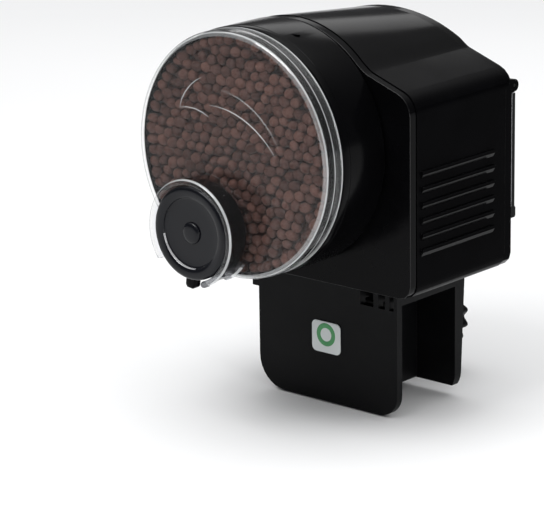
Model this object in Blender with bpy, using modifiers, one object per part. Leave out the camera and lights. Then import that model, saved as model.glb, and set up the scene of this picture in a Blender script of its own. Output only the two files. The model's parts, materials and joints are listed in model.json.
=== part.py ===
"""Automatic aquarium fish feeder, modelled as the pieces it comes apart into.

Lengths are millimetres, turned into metres by MM. The design frame has its origin on the
drum axis at the face of the front cover: +X is the right side seen from the front, -Y points
forward out of the drum, +Z is up. world() shifts it so that the middle of the bracket's rim
seat, the face that sits on the aquarium's rim, is the world origin.
"""
import math

import bmesh
import bpy
from mathutils import Matrix
from mathutils import Vector

MM = 0.001
GAP = 0.3                   # clearance between pieces that touch

# Drum
DRUM_R = 35.0
DRUM_WALL = 2.6
NECK_R = 33.3               # the lid's skirt fits over this front part of the cup
NECK_FRONT = -25.2
CUP_FRONT = -19.9
CUP_BACK = -2.0
LID_R = 34.8
LID_FRONT = -26.7
LID_FACE = 1.2

# Outlet on the lid
OUTLET_X = -7.7
OUTLET_Z = -21.3
OUTLET_R = 14.7
OUTLET_WALL = 1.1
OUTLET_LIP_R = 15.3        # the wall's flared front edge
OUTLET_FRONT = -36.0
OUTLET_GAP_FROM = 216.0     # degrees, counter-clockwise from +X seen from the front
OUTLET_GAP_TO = 289.0
DIAL_R = 13.3
DIAL_FRONT = -35.8
DIAL_FLOOR = -34.5          # the shallow dish in the dial's face
DIAL_WALL = 1.2

# Case
HALF_W = 43.0
TOP_FRONT = 34.8
TOP_REAR = 31.0
ARCH_END = 24.6             # the arch meets the shoulder at x = z = ARCH_END
SHOULDER_IN = (27.4, 22.5)
SHOULDER_OUT_Z = 16.8
CASE_BOTTOM = -39.7
WALL = 2.2
COVER_FRONT = -1.5
SHELL_FRONT = 1.3
SHELL_BACK = 41.2
COVER_BACK = 44.4

# Grip ribs on both sides of the case
RIB_COUNT = 6
RIB_TOP = -3.6
RIB_PITCH = 4.4
RIB_FROM_Y = 3.0
RIB_TO_Y = 35.6
RIB_PROUD = 0.7

# Gear train: 40 / 10+30 / 10+30 / 10 teeth
MODULE = 0.7
BIG_TEETH = 40
LARGE_TEETH = 30
SMALL_TEETH = 10
GEAR_SMALL_R = MODULE * SMALL_TEETH / 2
GEAR_LARGE_R = MODULE * LARGE_TEETH / 2
GEAR_BIG_R = MODULE * BIG_TEETH / 2
LAYER_A = (5.0, 8.6)
LAYER_B = (9.2, 12.2)
LAYER_C = (12.8, 15.8)
GEAR_LOWER = (GEAR_BIG_R + GEAR_SMALL_R, 0.0)
GEAR_LEAN = math.radians(110.0)
GEAR_UPPER = (GEAR_LOWER[0] + (GEAR_LARGE_R + GEAR_SMALL_R) * math.cos(GEAR_LEAN),
              (GEAR_LARGE_R + GEAR_SMALL_R) * math.sin(GEAR_LEAN))
MOTOR_AXIS = (GEAR_UPPER[0] - GEAR_LARGE_R - GEAR_SMALL_R, GEAR_UPPER[1])
AXLE_R = 1.0
MOTOR_R = 9.0
MOTOR_FRONT = 18.6
MOTOR_BACK = 33.4

# Two AA cells lie along X in the bottom of the case
CELL_R = 7.25
CELL_LENGTH = 50.5
CELL_Z = -29.3
CELL_Y = (10.5, 25.5)
CELL_FROM_X = -37.4
DOOR_Y = (2.0, 36.0)
DOOR_Z = (-36.6, -1.6)

# Electronics behind the rear cover
BOARD_BACK = 36.4
BOARD_THICK = 1.2
BUTTON_X = (-24.0, -8.0, 8.0, 24.0)
BUTTON_Z = -15.0
BUTTON_R = 3.6
WINDOW = (-18.0, 18.0, -2.5, 10.5)
FLIP_X = 42.8
FLIP_TOP = 10.4             # top of the plate's full width, below the ears
FLIP_BOTTOM = -25.9
FLIP_FRONT = 45.7
FLIP_THICK = 1.4
FLIP_AXIS = (45.9, 12.8)    # y and z of the flip cover's pins

# Tank bracket and clamp
PLATE_HALF_W = 26.0
PLATE_FRONT = 13.5
PLATE_BACK = 15.8
SEAT_TOP = -44.6
SEAT_Z = -48.0
PLATE_BOTTOM = -81.3
REAR_PLATE_FRONT = 40.4
REAR_PLATE_TOP_BACK = 45.0
REAR_PLATE_LOW_BACK = 43.2
REAR_PLATE_BOTTOM = -78.4
SCREW_Z = -65.8
SCREW_R = 3.0
JAW_HALF_W = 13.0
JAW_Z = (-78.0, -52.0)
JAW_FRONT = 29.0
JAW_BACK = 39.8
PAD_THICK = 1.4
KNOB_FRONT = 56.6
KNOB_BACK = 65.4
KNOB_R = 12.3
KNOB_LOBES = 16
SEAT_Y = (PLATE_BACK + REAR_PLATE_FRONT) / 2

BLACK = (0.012, 0.012, 0.014)
COLOURS = {
    "gloss_black": (BLACK, 0.18, 0.0, 1.0),
    "satin_black": (BLACK, 0.38, 0.0, 1.0),
    "clear_plastic": ((0.86, 0.89, 0.9), 0.05, 0.0, 0.25),
    "pellets": ((0.17, 0.075, 0.045), 0.75, 0.0, 1.0),
    "steel": ((0.55, 0.56, 0.58), 0.3, 1.0, 1.0),
    "brass": ((0.72, 0.53, 0.24), 0.3, 1.0, 1.0),
    "white_plastic": ((0.75, 0.74, 0.7), 0.45, 0.0, 1.0),
    "board_green": ((0.02, 0.16, 0.07), 0.5, 0.0, 1.0),
    "display": ((0.33, 0.37, 0.3), 0.2, 0.0, 1.0),
    "rubber": ((0.02, 0.02, 0.02), 0.85, 0.0, 1.0),
    "cell_wrap": ((0.05, 0.14, 0.32), 0.3, 0.0, 1.0),
    "label_paper": ((0.8, 0.83, 0.82), 0.4, 0.0, 1.0),
}


# ---------------------------------------------------------------- scene and helpers

def clear_scene():
    for old in list(bpy.data.objects):
        bpy.data.objects.remove(old, do_unlink=True)


def new_collection(name):
    collection = bpy.data.collections.new(name)
    bpy.context.scene.collection.children.link(collection)
    return collection


def make_material(name):
    colour, roughness, metallic, alpha = COLOURS[name]
    material = bpy.data.materials.new(name)
    material.use_nodes = True
    shader = material.node_tree.nodes["Principled BSDF"]
    shader.inputs["Base Color"].default_value = (*colour, 1.0)
    shader.inputs["Roughness"].default_value = roughness
    shader.inputs["Metallic"].default_value = metallic
    shader.inputs["Alpha"].default_value = alpha
    return material


clear_scene()
PARTS = new_collection("fish_feeder")
CUTTERS = new_collection("cutters")
MATERIALS = {name: make_material(name) for name in COLOURS}


def world(x, y, z):
    return Vector((x, y - SEAT_Y, z - SEAT_Z)) * MM


def add(name, mesh, finish, location=(0.0, 0.0, 0.0), turn=None):
    """Link a mesh as a named part, or as a cutter when finish is None."""
    obj = bpy.data.objects.new(name, mesh)
    obj.location = world(*location)
    if turn:
        obj.rotation_euler = turn
    if finish is None:
        CUTTERS.objects.link(obj)
        obj.hide_render = True
        obj.display_type = "WIRE"
    else:
        PARTS.objects.link(obj)
        mesh.materials.clear()
        mesh.materials.append(MATERIALS[finish])
    return obj


def boolean(obj, tool, operation, solver="EXACT"):
    modifier = obj.modifiers.new(operation.lower(), "BOOLEAN")
    modifier.operation = operation
    modifier.object = tool
    modifier.solver = solver
    return obj


def cut(obj, *tools):
    for tool in tools:
        boolean(obj, tool, "DIFFERENCE")
    return obj


def fuse(obj, *tools):
    for tool in tools:
        boolean(obj, tool, "UNION")
    return obj


def box(name, low, high, finish=None, edge=0.0):
    """A box between two design-frame corners, its origin at its middle."""
    mesh = bpy.data.meshes.new(name)
    bm = bmesh.new()
    bmesh.ops.create_cube(bm, size=1.0)
    size = [(b - a) * MM for a, b in zip(low, high)]
    bmesh.ops.scale(bm, vec=size, verts=bm.verts)
    bm.to_mesh(mesh)
    bm.free()
    middle = [(a + b) / 2 for a, b in zip(low, high)]
    obj = add(name, mesh, finish, middle)
    if edge:
        bevel = obj.modifiers.new("edge", "BEVEL")
        bevel.width = edge * MM
        bevel.segments = 2
        bevel.limit_method = "ANGLE"
    return obj


FORWARD = (math.pi / 2, 0.0, 0.0)            # local +Z becomes -Y, local +Y becomes +Z
SIDEWAYS = (math.pi / 2, 0.0, math.pi / 2)   # local +Z becomes +X, local +X becomes +Y


def flat(name, outlines, low, high, finish=None, turn=FORWARD, at=(0.0, 0.0)):
    """Extrude closed outlines; the first is the edge and the rest are holes.

    With FORWARD an outline is (x, z) about at, between y = low and y = high. With
    SIDEWAYS it is (y, z), between x = low and x = high.
    """
    curve = bpy.data.curves.new(name + "_outline", "CURVE")
    curve.dimensions = "2D"
    curve.fill_mode = "BOTH"
    curve.extrude = (high - low) / 2 * MM
    for outline in outlines:
        spline = curve.splines.new("POLY")
        spline.points.add(len(outline) - 1)
        for point, (u, v) in zip(spline.points, outline):
            point.co = (u * MM, v * MM, 0.0, 1.0)
        spline.use_cyclic_u = True
    guide = bpy.data.objects.new(name + "_guide", curve)
    CUTTERS.objects.link(guide)
    bpy.context.view_layer.update()
    evaluated = guide.evaluated_get(bpy.context.evaluated_depsgraph_get())
    mesh = bpy.data.meshes.new_from_object(evaluated)
    bm = bmesh.new()
    bm.from_mesh(mesh)
    bmesh.ops.remove_doubles(bm, verts=bm.verts, dist=0.001 * MM)
    bm.to_mesh(mesh)
    bm.free()
    mesh.name = name
    bpy.data.objects.remove(guide, do_unlink=True)
    middle = (low + high) / 2
    place = (middle, at[0], at[1]) if turn == SIDEWAYS else (at[0], middle, at[1])
    return add(name, mesh, finish, place, turn)


def turned(name, profile, finish=None, at=(0.0, 0.0), steps=48, closed=False):
    """Turn a profile of (radius, y) points about the Y axis through at = (x, z).

    Points run along the outside from front to back. A closed profile makes a ring.
    """
    mesh = bpy.data.meshes.new(name)
    points = [(r * MM, 0.0, -y * MM) for r, y in profile]
    edges = [(i, i + 1) for i in range(len(points) - 1)]
    if closed:
        edges.append((len(points) - 1, 0))
    mesh.from_pydata(points, edges, [])
    obj = add(name, mesh, finish, (at[0], 0.0, at[1]), FORWARD)
    screw = obj.modifiers.new("turn", "SCREW")
    screw.axis = "Z"
    screw.steps = steps
    screw.render_steps = steps
    screw.use_merge_vertices = True
    screw.merge_threshold = 0.001 * MM
    return obj


def rod(name, r, front, back, finish=None, at=(0.0, 0.0), steps=24):
    return turned(name, [(0.0, front), (r, front), (r, back), (0.0, back)], finish, at, steps)


def tube(name, r, bore, front, back, finish=None, at=(0.0, 0.0), steps=32):
    ring = [(r, front), (r, back), (bore, back), (bore, front)]
    return turned(name, ring, finish, at, steps, closed=True)


def arc(radius, start, end, steps, centre=(0.0, 0.0)):
    """Points on an arc, angles in degrees."""
    angles = [math.radians(start + (end - start) * i / steps) for i in range(steps + 1)]
    return [(centre[0] + radius * math.cos(a), centre[1] + radius * math.sin(a)) for a in angles]


def circle(radius, steps=24, centre=(0.0, 0.0)):
    return arc(radius, 0.0, 360.0, steps, centre)[:-1]


def fillet(before, corner, after, radius, steps=4):
    """Round one corner of an outline."""
    corner = Vector(corner)
    into = (Vector(before) - corner).normalized()
    out = (Vector(after) - corner).normalized()
    half = into.angle(out) / 2
    reach = radius / math.tan(half)
    centre = corner + (into + out).normalized() * (radius / math.sin(half))
    start = corner + into * reach - centre
    end = corner + out * reach - centre
    sweep = start.angle_signed(end)
    points = []
    for i in range(steps + 1):
        spoke = start.copy()
        spoke.rotate(Matrix.Rotation(-sweep * i / steps, 2))
        points.append(tuple(centre + spoke))
    return points


def rounded(corners, radius, steps=4):
    """A polygon with every corner rounded."""
    points = []
    count = len(corners)
    for i, corner in enumerate(corners):
        points += fillet(corners[i - 1], corner, corners[(i + 1) % count], radius, steps)
    return points


def rectangle(x0, x1, z0, z1, radius=0.0, steps=3):
    corners = [(x0, z0), (x1, z0), (x1, z1), (x0, z1)]
    return rounded(corners, radius, steps) if radius else corners


# ---------------------------------------------------------------- case

def case_outline(top, inset=0.0):
    """The case seen from the front: a drum-sized arch, sloping shoulders and straight sides."""
    end = ARCH_END - inset * math.sqrt(0.5)
    rise = top - inset - end
    radius = (end * end + rise * rise) / (2 * rise)
    reach = math.degrees(math.asin(end / radius))
    half = arc(radius, 90.0, 90.0 - reach, 10, (0.0, top - inset - radius))
    inner = (SHOULDER_IN[0] - inset * 0.5, SHOULDER_IN[1] - inset)
    outer = (HALF_W - inset, SHOULDER_OUT_Z - inset)
    foot = (HALF_W - inset, CASE_BOTTOM + inset)
    half += fillet(half[-1], inner, outer, 5.0, 2)
    half += fillet(inner, outer, foot, 6.5)
    half += fillet(outer, foot, (0.0, foot[1]), 4.0, 3)
    left = [(-x, z) for x, z in reversed(half[1:])]
    return half + left


def case_tube(name, front, back, tops, inset, finish):
    """An open sleeve between two case outlines."""
    mesh = bpy.data.meshes.new(name)
    bm = bmesh.new()
    rings = []
    for y, top in zip((front, back), tops):
        rings.append([bm.verts.new(Vector((x, y, z)) * MM) for x, z in case_outline(top, inset)])
    count = len(rings[0])
    for i in range(count):
        j = (i + 1) % count
        bm.faces.new((rings[0][i], rings[0][j], rings[1][j], rings[1][i]))
    bmesh.ops.recalc_face_normals(bm, faces=bm.faces)
    bm.to_mesh(mesh)
    bm.free()
    return add(name, mesh, finish)


def rib_bars(name, side, thickness):
    """Louvre-shaped grip bars on one side of the case, as one tool."""
    mesh = bpy.data.meshes.new(name)
    bm = bmesh.new()
    for i in range(RIB_COUNT):
        z = RIB_TOP - i * RIB_PITCH
        root = side * (HALF_W - thickness)
        crest = side * (HALF_W + RIB_PROUD)
        section = [(root, z + 0.4), (crest, z), (crest, z - 0.9), (root, z - 3.4)]
        ends = []
        for y in (RIB_FROM_Y, RIB_TO_Y):
            ends.append([bm.verts.new(Vector((x, y, h)) * MM) for x, h in section])
        bm.faces.new(ends[0])
        bm.faces.new(ends[1])
        for k in range(len(section)):
            m = (k + 1) % len(section)
            bm.faces.new((ends[0][k], ends[0][m], ends[1][m], ends[1][k]))
    bmesh.ops.recalc_face_normals(bm, faces=bm.faces)
    bm.to_mesh(mesh)
    bm.free()
    return add(name, mesh, None)


POSTS = [(34.4, 8.6), (34.4, -33.2), (-34.4, 8.6), (-34.4, -17.6)]
POST_R = 2.8
POST_BORE = 1.3
RAIL_X = 25.6
BUSH_R = 6.2


def make_main_shell():
    shell = case_tube("main_shell", SHELL_FRONT, SHELL_BACK, (TOP_FRONT, TOP_REAR), 0.0,
                      "gloss_black")
    wall = shell.modifiers.new("wall", "SOLIDIFY")
    wall.thickness = WALL * MM
    wall.offset = -1.0
    wall.use_even_offset = True
    fuse(shell, rib_bars("rib_tool_right", 1.0, 0.8))
    rail = [(22.0, CASE_BOTTOM + 0.6), (22.0, -41.9), (19.2, -41.9), (19.2, -44.2),
            (37.0, -44.2), (37.0, -41.9), (34.2, -41.9), (34.2, CASE_BOTTOM + 0.6)]
    fuse(shell, flat("rail_tool", [rail], -RAIL_X, RAIL_X, None, SIDEWAYS))
    door = rectangle(DOOR_Y[0] + 1.0, DOOR_Y[1] - 1.0, DOOR_Z[0] + 1.0, DOOR_Z[1] - 1.0, 1.5)
    recess = rectangle(DOOR_Y[0] - GAP, DOOR_Y[1] + GAP, DOOR_Z[0] - GAP, DOOR_Z[1] + GAP, 2.0)
    cut(shell,
        flat("door_hole_tool", [door], -HALF_W - 2, -HALF_W + WALL + 1, None, SIDEWAYS),
        flat("door_recess_tool", [recess], -HALF_W - 2, -HALF_W + 1.3, None, SIDEWAYS))


def make_front_cover():
    cover = flat("front_cover", [case_outline(TOP_FRONT, 0.2), circle(BUSH_R + 0.1, 32)],
                 COVER_FRONT, SHELL_FRONT - GAP, "gloss_black")
    for i, (x, z) in enumerate(POSTS):
        fuse(cover, rod("post_tool_%d" % i, POST_R, SHELL_FRONT - 1.0, 38.6, None, (x, z), 16))
        cut(cover, rod("post_bore_tool_%d" % i, POST_BORE, 14.0, 39.0, None, (x, z), 12))


def make_rear_cover():
    window = rectangle(WINDOW[0] - GAP, WINDOW[1] + GAP, WINDOW[2] - GAP, WINDOW[3] + GAP, 1.5)
    holes = [circle(BUTTON_R + GAP, 20, (x, BUTTON_Z)) for x in BUTTON_X]
    holes += [circle(POST_BORE + 0.3, 12, post) for post in POSTS]
    cover = flat("rear_cover", [case_outline(TOP_REAR, 0.1), window] + holes,
                 SHELL_BACK + GAP, COVER_BACK, "gloss_black")
    for name, side in (("left", -1.0), ("right", 1.0)):
        inner, outer = sorted((side * FLIP_X, side * (FLIP_X - 2.4)))
        ear = [(COVER_BACK - 1.0, 15.0), (COVER_BACK - 1.0, 10.6)]
        ear += arc(1.8, -90.0, 90.0, 8, FLIP_AXIS)
        bore = rod_x("ear_bore_tool_" + name, 0.8, inner - 1.0, outer + 1.0)
        tool = cut(flat("ear_tool_" + name, [ear], inner, outer, None, SIDEWAYS), bore)
        boolean(cover, tool, "UNION", "MANIFOLD")


def rod_x(name, r, start, end, finish=None, yz=FLIP_AXIS, steps=16):
    """A plain rod along X."""
    low, high = min(start, end), max(start, end)
    return flat(name, [circle(r, steps)], low, high, finish, SIDEWAYS, yz)


def make_case_screws():
    for i, (x, z) in enumerate(POSTS):
        profile = [(0.0, 20.0), (POST_BORE - 0.3, 21.0), (POST_BORE - 0.3, COVER_BACK + GAP),
                   (2.3, COVER_BACK + GAP), (2.3, COVER_BACK + 0.7), (1.8, COVER_BACK + 1.0),
                   (0.0, COVER_BACK + 1.0)]
        turned("case_screw_%d" % (i + 1), profile, "steel", (x, z), 16)


# ---------------------------------------------------------------- drum, lid and outlet

def make_drum_cup():
    outer, inner = DRUM_R, DRUM_R - DRUM_WALL
    floor = CUP_BACK - 2.0
    profile = [(NECK_R, NECK_FRONT), (NECK_R, CUP_FRONT), (outer - 0.5, CUP_FRONT),
               (outer, CUP_FRONT + 0.5), (outer, CUP_BACK - 0.8), (outer - 0.8, CUP_BACK),
               (5.0, CUP_BACK), (5.0, -9.0), (7.2, -9.0), (7.2, floor), (inner, floor),
               (inner, NECK_FRONT)]
    turned("drum_cup", profile, "gloss_black", closed=True)


def outlet_wall(name, outer, inner, low, high, trim=0.0):
    """The C-shaped wall around the outlet, open where the food falls out."""
    start, end = OUTLET_GAP_TO + trim, OUTLET_GAP_FROM + 360.0 - trim
    outline = arc(outer, start, end, 26) + arc(inner, end, start, 26)
    return flat(name, [outline], low, high, None, FORWARD, (OUTLET_X, OUTLET_Z))


def make_drum_lid():
    bore = NECK_R + GAP
    back = CUP_FRONT - GAP
    inside = LID_FRONT + LID_FACE
    profile = [(0.0, LID_FRONT), (LID_R - 1.9, LID_FRONT), (LID_R - 0.9, LID_FRONT + 0.3),
               (LID_R - 0.3, LID_FRONT + 0.9), (LID_R, LID_FRONT + 1.8),
               (LID_R, LID_FRONT + 3.0), (LID_R - 0.4, LID_FRONT + 3.4),
               (LID_R - 0.4, back - 1.0), (LID_R, back - 0.6), (LID_R, back), (bore, back),
               (bore, inside), (0.0, inside)]
    lid = turned("drum_lid", profile, "clear_plastic")
    tab = math.radians(OUTLET_GAP_TO - 0.5)
    tab = (OUTLET_X + 14.6 * math.cos(tab), OUTLET_Z + 14.6 * math.sin(tab))
    fuse(lid,
         outlet_wall("outlet_wall_tool", OUTLET_R, OUTLET_R - OUTLET_WALL, OUTLET_FRONT + 0.2,
                     LID_FRONT + 0.8),
         outlet_wall("outlet_lip_tool", OUTLET_LIP_R, OUTLET_R - 1.0, OUTLET_FRONT, -34.6, 0.7),
         rod("outlet_tab_tool", 0.95, OUTLET_FRONT + 0.1, -33.6, None, tab, 16),
         rod("dial_post_tool", 1.9, -32.4, LID_FRONT + 0.8, None, (OUTLET_X, OUTLET_Z), 20))
    port = arc(9.6, 190.0, 310.0, 14) + arc(4.6, 310.0, 190.0, 8)
    cut(lid,
        flat("port_tool", [port], LID_FRONT - 1.0, LID_FRONT + 4.0, None, FORWARD,
             (OUTLET_X, OUTLET_Z)),
        rod("dial_screw_hole_tool", 0.7, -33.0, -27.6, None, (OUTLET_X, OUTLET_Z), 12))


def make_outlet_dial():
    at = (OUTLET_X, OUTLET_Z)
    face, floor = DIAL_FRONT, DIAL_FLOOR
    skirt = LID_FRONT - 0.4
    profile = [(DIAL_R, face + 0.9), (DIAL_R, skirt), (DIAL_R - DIAL_WALL, skirt),
               (DIAL_R - DIAL_WALL, floor + 1.3), (3.5, floor + 1.3), (3.5, skirt), (2.2, skirt),
               (2.2, -32.9), (1.1, -32.9), (1.1, floor), (10.1, floor), (10.6, floor - 0.7),
               (DIAL_R - 1.2, face), (DIAL_R - 0.5, face + 0.3)]
    dial = turned("outlet_dial", profile, "gloss_black", at, 36, closed=True)
    window = arc(DIAL_R + 1.0, 214.0, 251.0, 10) + arc(DIAL_R - 2.2, 251.0, 214.0, 8)
    lug = [(-1.7, -DIAL_R + 0.6), (-1.7, -OUTLET_R - 1.4), (-1.0, -OUTLET_R - 2.1),
           (1.0, -OUTLET_R - 2.1), (1.7, -OUTLET_R - 1.4), (1.7, -DIAL_R + 0.6)]
    turn = math.radians(-9.0)
    lug = [(x * math.cos(turn) - z * math.sin(turn), x * math.sin(turn) + z * math.cos(turn))
           for x, z in lug]
    cut(dial, flat("dial_window_tool", [window], -31.7, LID_FRONT + 1.0, None, FORWARD, at))
    fuse(dial, flat("dial_lug_tool", [lug], -33.2, -30.6, None, FORWARD, at))
    screw = [(0.0, -36.0), (2.5, -36.0), (3.1, -35.6), (3.1, floor - GAP), (0.6, floor - GAP),
             (0.6, -28.0), (0.0, -28.0)]
    turned("dial_screw", screw, "satin_black", at, 24)


def make_food_fill():
    outer = DRUM_R - DRUM_WALL - 0.4
    profile = [(0.0, -25.2), (outer - 0.6, -25.2), (outer, -24.6), (outer, -4.6), (7.8, -4.6),
               (7.8, -9.6), (0.0, -9.6)]
    turned("food_fill", profile, "pellets", steps=40)


# ---------------------------------------------------------------- drive

def gear_outline(teeth, tooth_angle):
    """Involute teeth with a little backlash; tooth_angle is where one tooth points."""
    pitch_r = MODULE * teeth / 2
    base_r = pitch_r * math.cos(math.radians(20.0))
    tip_r = pitch_r + 0.85 * MODULE
    root_r = pitch_r - 1.2 * MODULE
    half = math.pi / teeth * 0.43

    def spread(radius):
        if radius <= base_r:
            return 0.0
        lean = math.acos(base_r / radius)
        return math.tan(lean) - lean

    at_pitch = spread(pitch_r)
    radii = [root_r, pitch_r, tip_r]
    points = []
    for k in range(teeth):
        middle = math.radians(tooth_angle) + 2 * math.pi * k / teeth
        flank = [(r, half + at_pitch - spread(r)) for r in radii]
        for r, offset in flank:
            points.append((r * math.cos(middle - offset), r * math.sin(middle - offset)))
        for r, offset in reversed(flank):
            points.append((r * math.cos(middle + offset), r * math.sin(middle + offset)))
    return points


def line_angle(start, end):
    return math.degrees(math.atan2(end[1] - start[1], end[0] - start[0]))


def meshing(teeth, own, partner):
    """The tooth angle that puts a gap of this gear towards its partner."""
    return line_angle(own, partner) + 180.0 / teeth


def compound_gear(name, at, large, small):
    """Two gears on one hub; each is (layer, teeth, tooth angle)."""
    layer, teeth, angle = large
    wheel = flat(name, [gear_outline(teeth, angle), circle(AXLE_R + 0.1, 20)], *layer,
                 "white_plastic", FORWARD, at)
    layer2, teeth2, angle2 = small
    low = min(layer2[0], layer[1] - 0.4)
    high = max(layer2[1], layer[0] + 0.4)
    pinion = flat(name + "_pinion_tool", [gear_outline(teeth2, angle2), circle(AXLE_R + 0.1, 20)],
                  low, high, None, FORWARD, at)
    return fuse(wheel, pinion)


def make_gear_train():
    hub = (0.0, 0.0)
    flat("output_gear", [gear_outline(BIG_TEETH, line_angle(hub, GEAR_LOWER)), circle(4.3, 32)],
         *LAYER_A, "white_plastic")
    compound_gear("compound_gear_lower", GEAR_LOWER,
                  (LAYER_B, LARGE_TEETH, line_angle(GEAR_LOWER, GEAR_UPPER)),
                  (LAYER_A, SMALL_TEETH, meshing(SMALL_TEETH, GEAR_LOWER, hub)))
    compound_gear("compound_gear_upper", GEAR_UPPER,
                  (LAYER_C, LARGE_TEETH, line_angle(GEAR_UPPER, MOTOR_AXIS)),
                  (LAYER_B, SMALL_TEETH, meshing(SMALL_TEETH, GEAR_UPPER, GEAR_LOWER)))
    flat("motor_pinion", [gear_outline(SMALL_TEETH, meshing(SMALL_TEETH, MOTOR_AXIS, GEAR_UPPER)),
                          circle(1.1, 16)], *LAYER_C, "brass", FORWARD, MOTOR_AXIS)
    rod("motor_shaft", 0.8, LAYER_C[0] - 0.6, MOTOR_FRONT - GAP, "steel", MOTOR_AXIS, 16)
    rod("gear_axle_lower", AXLE_R - 0.1, 2.6, 19.6, "steel", GEAR_LOWER, 16)
    rod("gear_axle_upper", AXLE_R - 0.1, 2.6, 19.6, "steel", GEAR_UPPER, 16)


def make_drive_shaft():
    """The output shaft: a collar behind the bush and a cross-shaped dog in the drum's hub."""
    profile = [(0.0, -9.4), (3.9, -9.4), (4.0, -9.0), (4.0, LAYER_A[1] + 0.6),
               (2.0, LAYER_A[1] + 0.6), (2.0, 12.0), (0.0, 12.0)]
    turned("drive_shaft", profile, "steel", steps=32)
    tube("output_bush", BUSH_R, 4.3, COVER_FRONT + 0.2, 4.4, "brass")


def make_gearbox_plate():
    holes = [circle(AXLE_R + 0.2, 16, GEAR_LOWER), circle(AXLE_R + 0.2, 16, GEAR_UPPER),
             circle(2.2, 16, MOTOR_AXIS)]
    outline = rounded([(-13.0, -12.0), (29.5, -12.0), (29.5, 12.0), (20.0, 23.0), (-13.0, 23.0)], 2.5)
    flat("gearbox_plate", [outline] + holes, 16.6, 17.8, "white_plastic")


def make_motor():
    profile = [(0.0, MOTOR_FRONT), (3.0, MOTOR_FRONT), (3.0, MOTOR_FRONT + 1.0),
               (MOTOR_R - 0.6, MOTOR_FRONT + 1.0), (MOTOR_R, MOTOR_FRONT + 1.6),
               (MOTOR_R, MOTOR_BACK - 0.6), (MOTOR_R - 0.6, MOTOR_BACK), (0.0, MOTOR_BACK)]
    turned("motor", profile, "steel", MOTOR_AXIS, 32)


# ---------------------------------------------------------------- power and electronics

def make_battery_bay():
    low_x, high_x = CELL_FROM_X - 1.2, CELL_FROM_X + CELL_LENGTH + 3.4
    low_z = CELL_Z - CELL_R - 0.9
    outside = [(low_x, 2.2, low_z), (high_x, 33.8, CELL_Z + CELL_R + 0.9)]
    bay = box("battery_bay", *outside, "satin_black")
    cut(bay, box("bay_hollow_tool", (low_x - 2.0, 3.0, low_z + 0.7), (high_x - 1.0, 33.0,
                                                                   CELL_Z + CELL_R + 0.2)))
    for name, y in zip(("front", "rear"), CELL_Y):
        end = CELL_FROM_X + CELL_LENGTH
        cell = [(0.0, CELL_FROM_X), (CELL_R - 0.4, CELL_FROM_X), (CELL_R, CELL_FROM_X + 0.5),
                (CELL_R, end - 1.8), (CELL_R - 0.6, end - 1.2), (2.6, end - 1.2), (2.6, end),
                (0.0, end)]
        mirrored = name == "rear"
        turned_x("battery_cell_" + name, cell, "cell_wrap", (y, CELL_Z), 24, mirrored)
        make_coil("contact_spring_" + name, end + 0.5, end + 1.9, y)


def turned_x(name, profile, finish, yz, steps, flipped):
    """A turned piece along X, its profile given as (radius, x); flipped turns it end for end."""
    length_middle = (profile[0][1] + profile[-1][1]) / 2
    mesh = bpy.data.meshes.new(name)
    points = [(r * MM, 0.0, (length_middle - x) * MM) for r, x in profile]
    mesh.from_pydata(points, [(i, i + 1) for i in range(len(points) - 1)], [])
    turn = (0.0, math.pi / 2, 0.0) if flipped else (0.0, -math.pi / 2, 0.0)
    obj = add(name, mesh, finish, (length_middle, yz[0], yz[1]), turn)
    screw = obj.modifiers.new("turn", "SCREW")
    screw.axis = "Z"
    screw.steps = steps
    screw.render_steps = steps
    screw.use_merge_vertices = True
    screw.merge_threshold = 0.001 * MM
    return obj


def make_coil(name, start, end, y):
    """A conical wire spring along X that presses on the end of a cell."""
    turns, per_turn = 2, 10
    curve = bpy.data.curves.new(name + "_wire", "CURVE")
    curve.dimensions = "3D"
    curve.bevel_depth = 0.3 * MM
    curve.bevel_resolution = 1
    curve.use_fill_caps = True
    spline = curve.splines.new("POLY")
    count = turns * per_turn
    spline.points.add(count)
    for i, point in enumerate(spline.points):
        share = i / count
        angle = 2 * math.pi * turns * share
        r = 4.6 - 2.0 * share
        x = end - 0.3 + (start + 0.3 - end + 0.3) * share
        point.co = (*world(x, y + r * math.cos(angle), CELL_Z + r * math.sin(angle)), 1.0)
    guide = bpy.data.objects.new(name + "_guide", curve)
    CUTTERS.objects.link(guide)
    bpy.context.view_layer.update()
    evaluated = guide.evaluated_get(bpy.context.evaluated_depsgraph_get())
    mesh = bpy.data.meshes.new_from_object(evaluated)
    bm = bmesh.new()
    bm.from_mesh(mesh)
    bmesh.ops.remove_doubles(bm, verts=bm.verts, dist=0.001 * MM)
    bmesh.ops.translate(bm, vec=-world(0.0, 0.0, 0.0), verts=bm.verts)
    bm.to_mesh(mesh)
    bm.free()
    bpy.data.objects.remove(guide, do_unlink=True)
    return add(name, mesh, "steel")


def make_battery_door():
    """A lid on the left side that carries the strip bridging the two cells."""
    outline = rectangle(DOOR_Y[0], DOOR_Y[1], DOOR_Z[0], DOOR_Z[1], 1.8)
    door = flat("battery_door", [outline], -HALF_W, -HALF_W + 1.0, "gloss_black", SIDEWAYS)
    plug = rectangle(DOOR_Y[0] + 1.4, DOOR_Y[1] - 1.4, DOOR_Z[0] + 1.4, DOOR_Z[1] - 1.4, 1.2)
    fuse(door, flat("door_plug_tool", [plug], -HALF_W + 0.6, -HALF_W + 4.1, None, SIDEWAYS),
         rib_bars("rib_tool_left", -1.0, 0.5))
    box("bridge_contact", (CELL_FROM_X - 1.2, 5.0, CELL_Z - 3.0),
        (CELL_FROM_X - 0.6, 31.0, CELL_Z + 3.0), "brass")


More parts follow.
